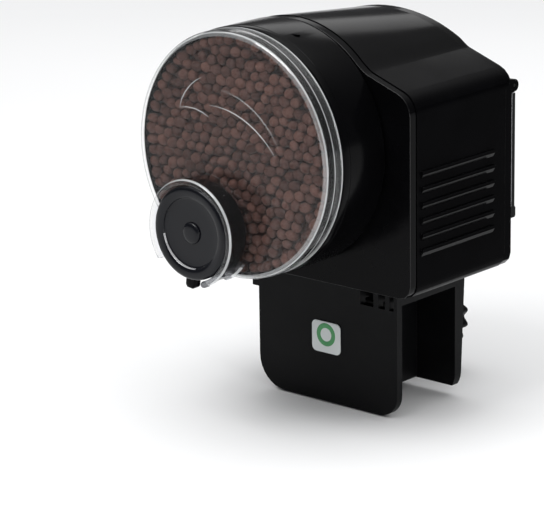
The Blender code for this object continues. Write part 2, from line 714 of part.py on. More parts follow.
def make_electronics():
    front = BOARD_BACK - BOARD_THICK
    holes = [circle(1.4, 12, (x, z)) for x in (-26.0, 28.0) for z in (-17.0, 14.5)]
    flat("circuit_board", [rectangle(-30.0, 31.0, -21.0, 18.0, 1.0)] + holes, front, BOARD_BACK,
         "board_green")
    box("lcd_module", (-21.0, 37.0, -5.5), (21.0, 40.6, 13.5), "display", 0.3)
    flat("lcd_window", [rectangle(*WINDOW, 1.2)], 42.0, COVER_BACK - 0.2, "clear_plastic")
    rod("buzzer", 4.0, 30.6, front - GAP, "satin_black", (-18.0, 4.0), 20)
    for i, x in enumerate(BUTTON_X):
        box("tact_switch_%d" % (i + 1), (x - 3.0, BOARD_BACK + GAP, BUTTON_Z - 3.0),
            (x + 3.0, 39.0, BUTTON_Z + 3.0), "satin_black")
        profile = [(0.0, 40.2), (BUTTON_R + 0.9, 40.2), (BUTTON_R + 0.9, 41.2), (BUTTON_R, 41.2),
                   (BUTTON_R, 45.0), (BUTTON_R - 0.5, 45.4), (0.0, 45.4)]
        turned("button_%d" % (i + 1), profile, "rubber", (x, BUTTON_Z), 24)


def make_flip_cover():
    """The clear lid over the display and buttons, hung from two pins at its top."""
    y, z = FLIP_AXIS
    inner = FLIP_X - 2.8
    back = FLIP_FRONT + FLIP_THICK
    lip = COVER_BACK + GAP
    section = [(FLIP_FRONT, FLIP_TOP), (FLIP_FRONT, FLIP_BOTTOM + 3.4),
               (lip, FLIP_BOTTOM + 2.6), (lip, FLIP_BOTTOM + 0.4), (lip + 0.4, FLIP_BOTTOM),
               (back + 0.1, FLIP_BOTTOM), (back + 0.5, FLIP_BOTTOM + 0.4),
               (back + 0.5, FLIP_BOTTOM + 2.8), (back, FLIP_BOTTOM + 3.4), (back, FLIP_TOP)]
    cover = flat("flip_cover", [section], -FLIP_X + 0.7, FLIP_X - 0.7, "clear_plastic", SIDEWAYS)
    barrel = [(FLIP_FRONT + 0.2, z - 1.0), (FLIP_FRONT + 0.2, FLIP_TOP - 2.0),
              (back - 0.2, FLIP_TOP - 2.0), (back - 0.2, z - 0.6)]
    barrel += arc(1.4, -20.0, 220.0, 12, (y, z))
    bore = circle(0.8, 16, (y, z))
    fuse(cover, flat("flip_barrel_tool", [barrel, bore], -inner, inner, None, SIDEWAYS))
    rod_x("flip_pin_left", 0.5, -inner - 2.7, -inner + 6.0, "steel")
    rod_x("flip_pin_right", 0.5, inner - 6.0, inner + 2.7, "steel")


# ---------------------------------------------------------------- bracket and clamp

def make_bracket():
    section = [(PLATE_FRONT, CASE_BOTTOM - GAP), (PLATE_FRONT, PLATE_BOTTOM),
               (PLATE_BACK, PLATE_BOTTOM), (PLATE_BACK, SEAT_Z), (REAR_PLATE_FRONT, SEAT_Z),
               (REAR_PLATE_FRONT, REAR_PLATE_BOTTOM), (REAR_PLATE_LOW_BACK, REAR_PLATE_BOTTOM),
               (REAR_PLATE_TOP_BACK, SEAT_TOP), (REAR_PLATE_TOP_BACK, CASE_BOTTOM - GAP),
               (34.6, CASE_BOTTOM - GAP), (34.6, -41.5), (37.4, -41.5), (37.4, SEAT_TOP),
               (18.8, SEAT_TOP), (18.8, -41.5), (21.6, -41.5), (21.6, CASE_BOTTOM - GAP)]
    bracket = flat("tank_bracket", [section], -PLATE_HALF_W, PLATE_HALF_W, "satin_black", SIDEWAYS)
    x = PLATE_HALF_W
    outline = [(-x - 1, -38.0), (-x - 1, -72.0), (-x, -72.0)]
    outline += arc(9.5, 180.0, 270.0, 8, (-x + 9.5, PLATE_BOTTOM + 9.5))
    outline += arc(6.5, 270.0, 360.0, 8, (x - 6.5, PLATE_BOTTOM + 6.5))
    outline += [(x + 1, -72.0), (x + 1, -38.0)]
    boolean(bracket, flat("plate_shape_tool", [outline], 10.0, 50.0), "INTERSECT")
    stop = box("stop_tool", (-x - 2.6, PLATE_FRONT + 0.2, -51.0), (-x + 0.3, 41.0, -40.4))
    fuse(bracket, stop)
    for i, (left, right) in enumerate(((12.6, 17.4), (19.2, 21.6), (23.2, 24.8))):
        cut(bracket, box("slot_tool_%d" % i, (left, 12.0, -49.4), (right, 17.6, -42.6)))
    rear_hole = rod("screw_clearance_tool", SCREW_R + 0.4, 38.0, 47.0, None, (0.0, SCREW_Z), 32)
    pocket = flat("nut_pocket_tool", [circle(6.1, 6)], REAR_PLATE_FRONT - 1.0,
                  REAR_PLATE_FRONT + 2.2, None, FORWARD, (0.0, SCREW_Z))
    cut(bracket, rear_hole, pocket)
    flat("nut_insert", [circle(5.7, 6), circle(SCREW_R + 0.1, 32)], REAR_PLATE_FRONT + 0.2,
         REAR_PLATE_FRONT + 1.9, "brass", FORWARD, (0.0, SCREW_Z))
    flat("round_label", [rectangle(-5.3, 5.3, -66.4, -57.0, 1.6)], PLATE_FRONT - 0.45,
         PLATE_FRONT - 0.1, "label_paper")


def make_clamp():
    low, high = JAW_Z
    jaw = box("clamp_jaw", (-JAW_HALF_W, JAW_FRONT, low), (JAW_HALF_W, JAW_BACK, high),
              "satin_black", 0.8)
    at = (0.0, SCREW_Z)
    cut(jaw, rod("jaw_socket_tool", SCREW_R + GAP, JAW_FRONT + 2.0, JAW_BACK + 1.0, None, at, 24))
    box("jaw_pad", (-JAW_HALF_W + 1, JAW_FRONT - GAP - PAD_THICK, low + 1),
        (JAW_HALF_W - 1, JAW_FRONT - GAP, high - 1), "rubber")
    profile = [(0.0, JAW_FRONT + 2.4), (SCREW_R - 0.6, JAW_FRONT + 2.4),
               (SCREW_R, JAW_FRONT + 3.0), (SCREW_R, KNOB_BACK - 2.0), (0.0, KNOB_BACK - 2.0)]
    turned("clamp_screw", profile, "steel", at, 32)
    lobes = []
    steps = KNOB_LOBES * 6
    for i in range(steps):
        angle = 2 * math.pi * i / steps
        r = KNOB_R - 0.8 - 0.8 * math.cos(KNOB_LOBES * angle)
        lobes.append((r * math.cos(angle), r * math.sin(angle)))
    knob = flat("clamp_knob", [lobes], KNOB_FRONT, KNOB_BACK, "satin_black", FORWARD, at)
    cut(knob, rod("knob_bore_tool", SCREW_R + GAP, KNOB_FRONT - 1, KNOB_BACK - 1.7, None, at, 32))


make_main_shell()
make_front_cover()
make_rear_cover()
make_case_screws()
make_drum_cup()
make_drum_lid()
make_outlet_dial()
make_food_fill()
make_gear_train()
make_drive_shaft()
make_gearbox_plate()
make_motor()
make_battery_bay()
make_battery_door()
make_electronics()
make_flip_cover()
make_bracket()
make_clamp()
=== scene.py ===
"""Looks of the automatic fish feeder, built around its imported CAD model.

Lengths are millimetres in the part's design frame: origin on the drum axis at the face of
the front cover, +X right seen from the front, -Y forward, +Z up. place() turns a point into
the row frame, in metres, with the drum axis and the cup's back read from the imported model.
Profiles to turn are (radius, y) points and outlines are (x, z) points. The mesh helpers take
angles in degrees.
"""

import json
import math
import random

import bmesh
import bpy
import numpy as np
from mathutils import Matrix, Vector, noise

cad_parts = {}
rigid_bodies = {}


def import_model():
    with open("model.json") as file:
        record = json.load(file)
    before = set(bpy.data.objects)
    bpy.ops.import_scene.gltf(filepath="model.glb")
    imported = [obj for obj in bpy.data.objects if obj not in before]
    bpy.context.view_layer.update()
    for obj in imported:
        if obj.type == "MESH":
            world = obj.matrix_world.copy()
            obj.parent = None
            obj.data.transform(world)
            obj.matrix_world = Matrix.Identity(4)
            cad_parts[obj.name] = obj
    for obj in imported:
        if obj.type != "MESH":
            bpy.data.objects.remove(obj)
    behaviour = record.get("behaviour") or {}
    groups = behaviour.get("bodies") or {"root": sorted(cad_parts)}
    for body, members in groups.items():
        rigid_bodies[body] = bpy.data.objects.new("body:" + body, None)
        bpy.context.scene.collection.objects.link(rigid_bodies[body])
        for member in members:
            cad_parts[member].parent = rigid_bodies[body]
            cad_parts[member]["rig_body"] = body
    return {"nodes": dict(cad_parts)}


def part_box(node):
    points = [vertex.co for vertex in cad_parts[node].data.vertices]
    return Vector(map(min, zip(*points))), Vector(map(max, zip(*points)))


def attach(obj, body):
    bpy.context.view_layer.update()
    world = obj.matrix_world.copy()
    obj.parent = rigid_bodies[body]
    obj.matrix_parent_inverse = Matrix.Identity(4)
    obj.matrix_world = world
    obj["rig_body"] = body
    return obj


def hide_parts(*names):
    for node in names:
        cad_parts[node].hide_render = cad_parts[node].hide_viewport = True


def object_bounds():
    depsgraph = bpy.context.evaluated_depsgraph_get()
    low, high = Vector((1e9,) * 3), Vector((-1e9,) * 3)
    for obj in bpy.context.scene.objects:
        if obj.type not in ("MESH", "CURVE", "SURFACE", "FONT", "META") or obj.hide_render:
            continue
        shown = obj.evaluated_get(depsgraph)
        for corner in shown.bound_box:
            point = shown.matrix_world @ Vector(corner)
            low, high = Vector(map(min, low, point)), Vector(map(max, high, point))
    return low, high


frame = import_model()
CAD_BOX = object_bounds()

MM = 0.001
CUP_BACK = -2.0                         # y of the drum cup's back face
CUP_LOW, CUP_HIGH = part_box("drum_cup")
ORIGIN = Vector(((CUP_LOW.x + CUP_HIGH.x) / 2, CUP_HIGH.y - CUP_BACK * MM,
                 (CUP_LOW.z + CUP_HIGH.z) / 2))

LID_FACE, LID_INSIDE = -26.7, -25.5     # y of the lid's flat front and of its inner face
LID_RADIUS, GROOVE_RADIUS = 34.8, 34.4  # outside of the lid's wall and of the groove in it
OUTLET = (-7.7, -21.3)                  # x and z of the outlet's axis
WALL_FROM, WALL_TO = 289.0, 576.0       # part of a turn that the outlet's clear wall covers
CUP_RADIUS, CUP_INSIDE = 35.0, 32.4     # outside and inside of the cup's wall
NECK_FRONT, NECK_INSIDE = -24.9, 33.5   # y and inner radius of the cup's neck at its front
DIAL_RADIUS, DIAL_INSIDE = 13.3, 12.1   # outside and inside of the dial's skirt
KEY_Z, KEY_PITCH = -15.0, 16.0          # the row of keys
KNOB_AXIS = (0.0, -65.8)                # x and z
LABEL_CENTRE, LABEL_FACE = (0.0, -61.7), 13.05      # x and z, and y of its front


def place(x, y, z):
    """A point of the design frame in the row frame."""
    return ORIGIN + Vector((x, y, z)) * MM


def linked(name, data):
    """A new object in the scene that holds data."""
    obj = bpy.data.objects.new(name, data)
    bpy.context.scene.collection.objects.link(obj)
    return obj


# ---------------------------------------------------------------- materials

def new_material(name):
    material = bpy.data.materials.new(name)
    material.use_nodes = True
    tree = material.node_tree
    return material, tree, tree.nodes["Principled BSDF"]


def link(tree, source, target):
    tree.links.new(source, target)


def object_noise(tree, scale, detail=3.0, stretch=None):
    """Noise fixed to the piece, scale in cells per metre, stretch along its axes."""
    coords = tree.nodes.new("ShaderNodeTexCoord")
    vector = coords.outputs["Object"]
    if stretch:
        mapping = tree.nodes.new("ShaderNodeMapping")
        mapping.inputs["Scale"].default_value = stretch
        link(tree, vector, mapping.inputs["Vector"])
        vector = mapping.outputs["Vector"]
    texture = tree.nodes.new("ShaderNodeTexNoise")
    texture.inputs["Scale"].default_value = scale
    texture.inputs["Detail"].default_value = detail
    link(tree, vector, texture.inputs["Vector"])
    return texture.outputs["Fac"]


def ramp(tree, source, low, high, start=0.3, end=0.7):
    """Map a signal between start and end to the range from low to high."""
    node = tree.nodes.new("ShaderNodeMapRange")
    node.inputs["From Min"].default_value = start
    node.inputs["From Max"].default_value = end
    node.inputs["To Min"].default_value = low
    node.inputs["To Max"].default_value = high
    link(tree, source, node.inputs["Value"])
    return node.outputs["Result"]


def colours(tree, source, stops):
    """Map a 0..1 signal to colours, given as (position, colour) stops."""
    node = tree.nodes.new("ShaderNodeValToRGB")
    elements = node.color_ramp.elements
    while len(elements) < len(stops):
        elements.new(0.5)
    for element, (position, colour) in zip(elements, stops):
        element.position = position
        element.color = (*colour, 1.0)
    link(tree, source, node.inputs["Fac"])
    return node.outputs["Color"]


def bump(tree, source, strength, distance, below=None):
    """A normal that follows source, on top of the bump below."""
    node = tree.nodes.new("ShaderNodeBump")
    node.inputs["Strength"].default_value = strength
    node.inputs["Distance"].default_value = distance
    link(tree, source, node.inputs["Height"])
    if below is not None:
        link(tree, below, node.inputs["Normal"])
    return node.outputs["Normal"]


def plastic(name, dark, light, rough, grain=900.0, relief=0.03, specular=0.5, coat=0.0,
            wear=0.06):
    """Moulded plastic: faint mottling, gloss that is uneven as from handling, fine texture."""
    material, tree, shader = new_material(name)
    mottle = object_noise(tree, scale=60.0, detail=4.0)
    link(tree, colours(tree, mottle, [(0.3, dark), (0.7, light)]), shader.inputs["Base Color"])
    smudge = object_noise(tree, scale=45.0, detail=6.0, stretch=(1.0, 1.0, 0.4))
    link(tree, ramp(tree, smudge, rough, rough + wear), shader.inputs["Roughness"])
    fine = bump(tree, object_noise(tree, grain, detail=2.0), relief, distance=0.0002)
    wave = bump(tree, object_noise(tree, scale=55.0, detail=1.0), relief * 0.8,
                distance=0.0006, below=fine)
    link(tree, wave, shader.inputs["Normal"])
    shader.inputs["Specular IOR Level"].default_value = specular
    shader.inputs["Coat Weight"].default_value = coat
    shader.inputs["Coat Roughness"].default_value = 0.05
    return material


def metal(name, dark, light, rough):
    """Machined metal: fine streaks in colour, roughness and relief."""
    material, tree, shader = new_material(name)
    streaks = object_noise(tree, scale=700.0, detail=3.0, stretch=(1.0, 1.0, 12.0))
    link(tree, colours(tree, streaks, [(0.3, dark), (0.7, light)]), shader.inputs["Base Color"])
    link(tree, ramp(tree, streaks, rough, rough + 0.18), shader.inputs["Roughness"])
    link(tree, bump(tree, streaks, strength=0.08, distance=0.0001), shader.inputs["Normal"])
    shader.inputs["Metallic"].default_value = 1.0
    return material


def clear_plastic(name, tint, haze, rough=0.03, mirror=0.02, body=(0.80, 0.82, 0.83),
                  rim=0.14):
    """Clear moulding: tinted light from behind, a mirror of strength mirror face-on, and haze,
    a cloud of colour body. Edge-on the tint falls to rim times itself and the mirror rises."""
    material, tree, shader = new_material(name)
    flow = object_noise(tree, scale=35.0, detail=2.0)
    paler = tuple(min(1.0, c * 1.06) for c in body)
    link(tree, colours(tree, flow, [(0.3, body), (0.7, paler)]), shader.inputs["Base Color"])
    uneven = ramp(tree, object_noise(tree, scale=80.0, detail=5.0), rough, rough + 0.04)
    link(tree, uneven, shader.inputs["Roughness"])
    waves = bump(tree, flow, strength=0.03, distance=0.0004)
    link(tree, waves, shader.inputs["Normal"])
    through = tree.nodes.new("ShaderNodeBsdfTransparent")
    shine = tree.nodes.new("ShaderNodeBsdfGlossy")
    link(tree, uneven, shine.inputs["Roughness"])
    link(tree, waves, shine.inputs["Normal"])
    facing = tree.nodes.new("ShaderNodeLayerWeight")
    facing.inputs["Blend"].default_value = 0.5
    steep = tree.nodes.new("ShaderNodeMath")
    steep.operation = "POWER"
    steep.inputs[1].default_value = 4.0
    link(tree, facing.outputs["Facing"], steep.inputs[0])
    shade = tuple(c * rim for c in tint)
    link(tree, colours(tree, steep.outputs["Value"], [(0.25, tint), (0.75, shade)]),
         through.inputs["Color"])
    glaze = tree.nodes.new("ShaderNodeMixShader")
    link(tree, ramp(tree, steep.outputs["Value"], mirror, 0.75, start=0.0, end=1.0),
         glaze.inputs["Fac"])
    link(tree, through.outputs["BSDF"], glaze.inputs[1])
    link(tree, shine.outputs["BSDF"], glaze.inputs[2])
    cloud = tree.nodes.new("ShaderNodeMixShader")
    link(tree, ramp(tree, flow, haze * 0.9, haze * 1.1), cloud.inputs["Fac"])
    link(tree, glaze.outputs["Shader"], cloud.inputs[1])
    link(tree, shader.outputs["BSDF"], cloud.inputs[2])
    link(tree, cloud.outputs["Shader"], tree.nodes["Material Output"].inputs["Surface"])
    return material


def pellet_material():
    """Dry food: each pellet has its own brown, with a dusty, pitted skin."""
    material, tree, shader = new_material("fine_pellets")
    tone = tree.nodes.new("ShaderNodeAttribute")
    tone.attribute_name = "tone"
    crumb = object_noise(tree, scale=1400.0, detail=4.0)
    own = tree.nodes.new("ShaderNodeMath")
    own.operation = "MULTIPLY_ADD"
    own.inputs[1].default_value = 0.8
    own.inputs[2].default_value = -0.06
    link(tree, tone.outputs["Fac"], own.inputs[0])
    blend = tree.nodes.new("ShaderNodeMath")
    blend.operation = "MULTIPLY_ADD"
    blend.inputs[1].default_value = 0.35
    link(tree, crumb, blend.inputs[0])
    link(tree, own.outputs["Value"], blend.inputs[2])
    browns = [(0.05, (0.046, 0.018, 0.013)), (0.45, (0.080, 0.035, 0.027)),
              (0.95, (0.122, 0.056, 0.043))]
    link(tree, colours(tree, blend.outputs["Value"], browns), shader.inputs["Base Color"])
    link(tree, ramp(tree, crumb, 0.5, 0.75), shader.inputs["Roughness"])
    link(tree, bump(tree, crumb, strength=0.35, distance=0.0003), shader.inputs["Normal"])
    shader.inputs["Specular IOR Level"].default_value = 0.15
    return material


def board_material():
    """Green solder mask with a net of paler traces under it."""
    material, tree, shader = new_material("fine_board")
    coords = tree.nodes.new("ShaderNodeTexCoord")
    upright = tree.nodes.new("ShaderNodeMapping")
    upright.inputs["Rotation"].default_value = (math.pi / 2, 0.0, 0.0)
    link(tree, coords.outputs["Object"], upright.inputs["Vector"])
    bricks = tree.nodes.new("ShaderNodeTexBrick")
    bricks.inputs["Scale"].default_value = 220.0
    bricks.inputs["Mortar Size"].default_value = 0.04
    bricks.inputs["Color1"].default_value = (0.010, 0.105, 0.045, 1.0)
    bricks.inputs["Color2"].default_value = (0.012, 0.125, 0.052, 1.0)
    bricks.inputs["Mortar"].default_value = (0.035, 0.22, 0.10, 1.0)
    link(tree, upright.outputs["Vector"], bricks.inputs["Vector"])
    link(tree, bricks.outputs["Color"], shader.inputs["Base Color"])
    link(tree, ramp(tree, object_noise(tree, scale=300.0), 0.28, 0.4), shader.inputs["Roughness"])
    relief = bump(tree, bricks.outputs["Fac"], strength=0.2, distance=0.0001)
    link(tree, relief, shader.inputs["Normal"])
    return material


def display_material():
    """Reflective liquid-crystal glass over a grey-green ground with a very fine check."""
    material, tree, shader = new_material("fine_display")
    coords = tree.nodes.new("ShaderNodeTexCoord")
    dots = tree.nodes.new("ShaderNodeTexChecker")
    dots.inputs["Scale"].default_value = 2400.0
    dots.inputs["Color1"].default_value = (0.215, 0.25, 0.19, 1.0)
    dots.inputs["Color2"].default_value = (0.23, 0.27, 0.205, 1.0)
    link(tree, coords.outputs["Object"], dots.inputs["Vector"])
    link(tree, dots.outputs["Color"], shader.inputs["Base Color"])
    link(tree, ramp(tree, object_noise(tree, scale=120.0), 0.12, 0.2), shader.inputs["Roughness"])
    shader.inputs["Coat Weight"].default_value = 0.5
    return material


MATERIALS = {
    "gloss": plastic("gloss_black", (0.0012, 0.0012, 0.0014), (0.0022, 0.0022, 0.0026), 0.13,
                     specular=0.05),
    # copy of the gloss black that hardly reflects: painted shade on the sides
    "painted_shade_sides": plastic("sides_painted_shade", (0.0012, 0.0012, 0.0014), (0.0020, 0.0020, 0.0024), 0.20,
                     specular=0.008),
    "satin": plastic("satin_black", (0.0030, 0.0032, 0.0035), (0.0052, 0.0054, 0.0060), 0.34,
                     grain=1600.0, relief=0.12, specular=0.07, wear=0.1),
    # lighter, more reflective copy of the gloss black on the rounded edges: painted highlight
    # lines
    "painted_highlight_edges": plastic("edges_painted_highlight", (0.0020, 0.0020, 0.0024), (0.0034, 0.0034, 0.0040), 0.12,
                        specular=0.30),
    "dial": plastic("dial_black", (0.0042, 0.0046, 0.0066), (0.0066, 0.0072, 0.0098), 0.16,
                    specular=0.14, coat=0.15),
    # light grey, strongly glossy strip on the dish wall: a painted highlight
    "painted_dish_highlight": plastic("dial_painted_highlight", (0.30, 0.30, 0.31), (0.42, 0.42, 0.43), 0.16,
                     specular=0.8, coat=1.0),
    "white": plastic("acetal_white", (0.66, 0.65, 0.60), (0.76, 0.75, 0.71), 0.35, relief=0.06),
    "rubber": plastic("key_rubber", (0.016, 0.016, 0.017), (0.028, 0.028, 0.03), 0.55,
                      grain=1800.0, relief=0.2, specular=0.3),
    "pad": plastic("pad_rubber", (0.014, 0.014, 0.014), (0.024, 0.024, 0.024), 0.75,
                   grain=1300.0, relief=0.4, specular=0.2),
    "cell": plastic("cell_wrap", (0.02, 0.07, 0.20), (0.03, 0.09, 0.25), 0.22, coat=0.3),
    "paper": plastic("label_paper", (0.66, 0.70, 0.70), (0.72, 0.76, 0.76), 0.38,
                     grain=1200.0, relief=0.08),
    "green": plastic("label_green", (0.045, 0.27, 0.085), (0.06, 0.32, 0.11), 0.4,
                     grain=1200.0, relief=0.08),
    "steel": metal("turned_steel", (0.42, 0.43, 0.45), (0.58, 0.59, 0.61), 0.22),
    "brass": metal("turned_brass", (0.55, 0.38, 0.16), (0.70, 0.51, 0.24), 0.25),
    "clear": clear_plastic("clear_lid", (0.985, 0.985, 0.985), haze=0.008, mirror=0.008),
    # white haze on the rounded front edges: painted highlight
    "edge": clear_plastic("lid_edge_painted_highlight", (0.90, 0.91, 0.91), haze=0.16, rough=0.05, mirror=0.12),
    # white haze on thin bands of the lid: painted highlight lines
    "painted_highlight_line": clear_plastic("lid_painted_highlight_line", (0.88, 0.89, 0.89), haze=0.42, rough=0.06, mirror=0.15,
                          rim=0.7),
    # mild grey haze: a painted grey sheen in the groove and on the outlet's rim
    "painted_grey_sheen": clear_plastic("lid_painted_grey_sheen", (0.95, 0.95, 0.95), haze=0.025, rough=0.10,
                          mirror=0.03),
    "wall": clear_plastic("outlet_wall", (0.93, 0.93, 0.94), haze=0.005, rough=0.05,
                          mirror=0.010),
    # dark tint and dark haze on clear plastic: painted shade
    "shade": clear_plastic("outlet_painted_shade", (0.42, 0.43, 0.45), haze=0.30, rough=0.06,
                           mirror=0.10, body=(0.12, 0.12, 0.13)),
    # white haze on the arrow ridges: painted highlights, fainter on the outer line
    "painted_arrow_highlight": clear_plastic("arrow_painted_highlight", (0.95, 0.95, 0.95), haze=0.42, rough=0.2),
    "painted_faint_highlight": clear_plastic("arrow_faint_painted_highlight", (0.97, 0.97, 0.97), haze=0.20, rough=0.2),
    "smoked": clear_plastic("smoked_flap", (0.64, 0.64, 0.66), haze=0.10, rough=0.08,
                            body=(0.012, 0.012, 0.013)),
    "window": clear_plastic("display_window", (0.93, 0.95, 0.95), haze=0.04),
    "pellets": pellet_material(),
    "board": board_material(),
    "display": display_material(),
}


# ---------------------------------------------------------------- mesh helpers

SHARP = 32.0                # shading keeps edges sharper than this
WELD = 2e-6                 # metres, joins points of a CAD mesh that are this close


def finish_mesh(mesh, angle=SHARP):
    """Smooth shading that keeps edges sharper than angle."""
    mesh.shade_smooth()
    mesh.set_sharp_from_angle(angle=math.radians(angle))


def add(name, mesh, material, body, replaces=()):
    """Make a piece of a body from a mesh in the row frame, whose finishes may be on it already."""
    obj = linked(name, mesh)
    if material:
        mesh.materials.clear()
        mesh.materials.append(MATERIALS[material])
    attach(obj, body)
    if replaces:
        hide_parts(*replaces)


def mesh_from(bm, name):
    """Turn a bmesh into a mesh with its faces outwards."""
    bmesh.ops.recalc_face_normals(bm, faces=bm.faces)
    mesh = bpy.data.meshes.new(name)
    bm.to_mesh(mesh)
    bm.free()
    return mesh


def applied(name, carrier, *tools):
    """The carrier's mesh with its modifiers applied. The carrier and its tools are removed."""
    bpy.context.view_layer.update()
    graph = bpy.context.evaluated_depsgraph_get()
    result = bpy.data.meshes.new_from_object(carrier.evaluated_get(graph))
    for obj in (carrier, *tools):
        bpy.data.objects.remove(obj, do_unlink=True)
    result.name = name
    return result


def evened(name, mesh):
    """Keep flat faces flat: corner normals weighted by the area of the faces around them."""
    carrier = linked(name, mesh)
    modifier = carrier.modifiers.new("even", "WEIGHTED_NORMAL")
    modifier.weight = 100
    modifier.keep_sharp = True
    return applied(name, carrier)


def combined(name, base, tools, operation):
    """The base mesh joined with or cut by the tools."""
    carrier = linked(name, base)
    cutters = []
    for i, tool in enumerate(tools):
        cutters.append(linked("%s_tool_%d" % (name, i), tool))
        modifier = carrier.modifiers.new("combine_%d" % i, "BOOLEAN")
        modifier.operation = operation
        modifier.solver = "EXACT"
        modifier.object = cutters[-1]
    return applied(name, carrier, *cutters)


def round_edges(bm, angle, radius, steps, material=0):
    """Round the edges sharper than angle."""
    sharp = [e for e in bm.edges if e.calc_face_angle(0.0) > math.radians(angle)]
    bmesh.ops.bevel(bm, geom=sharp, offset=radius * MM, segments=steps, profile=0.5,
                    affect="EDGES", clamp_overlap=True, material=material)


def refined(node, name, finishes, slot, edge, steps):
    """The CAD node's own shape with rounded edges. One finish is for all of it, two are for the
    faces and the edges, and three are for the faces, the ends along X with the edges that
    face down, and the other edges. On the black case the edges' finish reflects more, as
    painted highlight lines, and the middle one hardly reflects, as painted shade."""
    source = frame["nodes"][node]
    bm = bmesh.new()
    bm.from_mesh(source.data)
    bmesh.ops.remove_doubles(bm, verts=bm.verts, dist=WELD)
    bmesh.ops.dissolve_degenerate(bm, dist=WELD, edges=bm.edges)
    bmesh.ops.dissolve_limit(bm, angle_limit=math.radians(1.0), verts=bm.verts, edges=bm.edges)
    round_edges(bm, 30.0, edge, steps, len(finishes) - 1)
    mesh = mesh_from(bm, name)
    finish_mesh(mesh)
    mesh = evened(name, mesh)
    for finish in finishes:
        mesh.materials.append(MATERIALS[finish])
    sideways, downward = 0.9, -0.1
    # the ends along X and the edges that face down take the middle finish: painted shade
    if len(finishes) == 3:
        for face in mesh.polygons:
            end = face.material_index == 0 and abs(face.normal.x) > sideways
            under = face.material_index == 2 and face.normal.z < downward
            if end or under:
                face.material_index = 1
    add(name, mesh, None, source["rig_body"], (node,))


def lathe(bm, profile, at=(0.0, 0.0), steps=144, closed=False, start=0.0, end=360.0):
    """Turn a profile about the Y axis through at. A closed profile ends where it starts, and
    gets end faces where the turn isn't whole."""
    whole = abs(end - start) >= 360.0
    count = steps if whole else steps + 1
    rings = []
    for i in range(count):
        a = math.radians(start + (end - start) * i / steps)
        ring = []
        for r, y in profile:
            ring.append(bm.verts.new(place(at[0] + r * math.cos(a), y, at[1] + r * math.sin(a))))
        rings.append(ring)
    spans = len(profile) if closed else len(profile) - 1
    for i in range(steps):
        a, b = rings[i], rings[(i + 1) % count]
        for j in range(spans):
            k = (j + 1) % len(profile)
            bm.faces.new((a[j], b[j], b[k], a[k]))
    if not whole and closed:
        bm.faces.new(rings[0])
        bm.faces.new(list(reversed(rings[-1])))
    bmesh.ops.remove_doubles(bm, verts=bm.verts, dist=1e-7)


def turned_mesh(name, profile, at=(0.0, 0.0), steps=144, closed=False, start=0.0, end=360.0):
    bm = bmesh.new()
    lathe(bm, profile, at, steps, closed, start, end)
    mesh = mesh_from(bm, name)
    finish_mesh(mesh)
    return mesh


def prism_mesh(name, outline, low, high, at=(0.0, 0.0), edge=0.0, steps=2):
    """Extrude an outline about at from y = low to y = high, with edges rounded by edge."""
    bm = bmesh.new()
    ends = []
    for y in (low, high):
        ends.append([bm.verts.new(place(at[0] + x, y, at[1] + z)) for x, z in outline])
    bm.faces.new(ends[0])
    bm.faces.new(list(reversed(ends[1])))
    count = len(outline)
    for i in range(count):
        j = (i + 1) % count
        bm.faces.new((ends[0][i], ends[1][i], ends[1][j], ends[0][j]))
    bmesh.ops.recalc_face_normals(bm, faces=bm.faces)
    if edge:
        round_edges(bm, 40.0, edge, steps)
    mesh = mesh_from(bm, name)
    finish_mesh(mesh)
    return mesh


def arc(radius, start, end, steps, centre=(0.0, 0.0)):
    """Points along an arc, from start to end."""
    angles = [math.radians(start + (end - start) * i / steps) for i in range(steps + 1)]
    return [(centre[0] + radius * math.cos(a), centre[1] + radius * math.sin(a)) for a in angles]


def ridge_mesh(name, path, y, width, height):
    """A low rounded ridge along a path on the face at y, standing towards -Y and thinner
    towards both ends."""
    bm = bmesh.new()
    half = [(-0.5, 0.06), (-0.4, -0.55), (-0.15, -0.95)]
    section = half + [(-u, v) for u, v in reversed(half)]
    rings = []
    last = len(path) - 1
    for i, point in enumerate(path):
        before, after = path[max(i - 1, 0)], path[min(i + 1, last)]
        along = Vector((after[0] - before[0], after[1] - before[1])).normalized()
        side = Vector((-along.y, along.x))
        taper = min(1.0, 0.25 + 2.5 * min(i, last - i) / last)
        ring = []
        for u, v in section:
            ring.append(bm.verts.new(place(point[0] + side.x * u * width * taper,
                                           y + v * height * taper,
                                           point[1] + side.y * u * width * taper)))
        rings.append(ring)
    count = len(section)
    for a, b in zip(rings, rings[1:]):
        for j in range(count):
            k = (j + 1) % count
            bm.faces.new((a[j], a[k], b[k], b[j]))
    bm.faces.new(rings[0])
    bm.faces.new(list(reversed(rings[-1])))
    mesh = mesh_from(bm, name)
    finish_mesh(mesh, 60.0)
    return mesh


# ---------------------------------------------------------------- lid and outlet

def choose_finish(mesh, finishes, choose):
    """Give each face the finish that choose(point, normal) names, points in the design frame."""
    mesh.materials.clear()
    for finish in finishes:
        mesh.materials.append(MATERIALS[finish])
    for face in mesh.polygons:
        face.material_index = finishes.index(choose((face.center - ORIGIN) / MM, face.normal))


def from_outlet(point):
    """The point's direction and distance from the outlet's axis."""
    x, z = point.x - OUTLET[0], point.z - OUTLET[1]
    return math.degrees(math.atan2(z, x)) % 360.0, math.hypot(x, z)


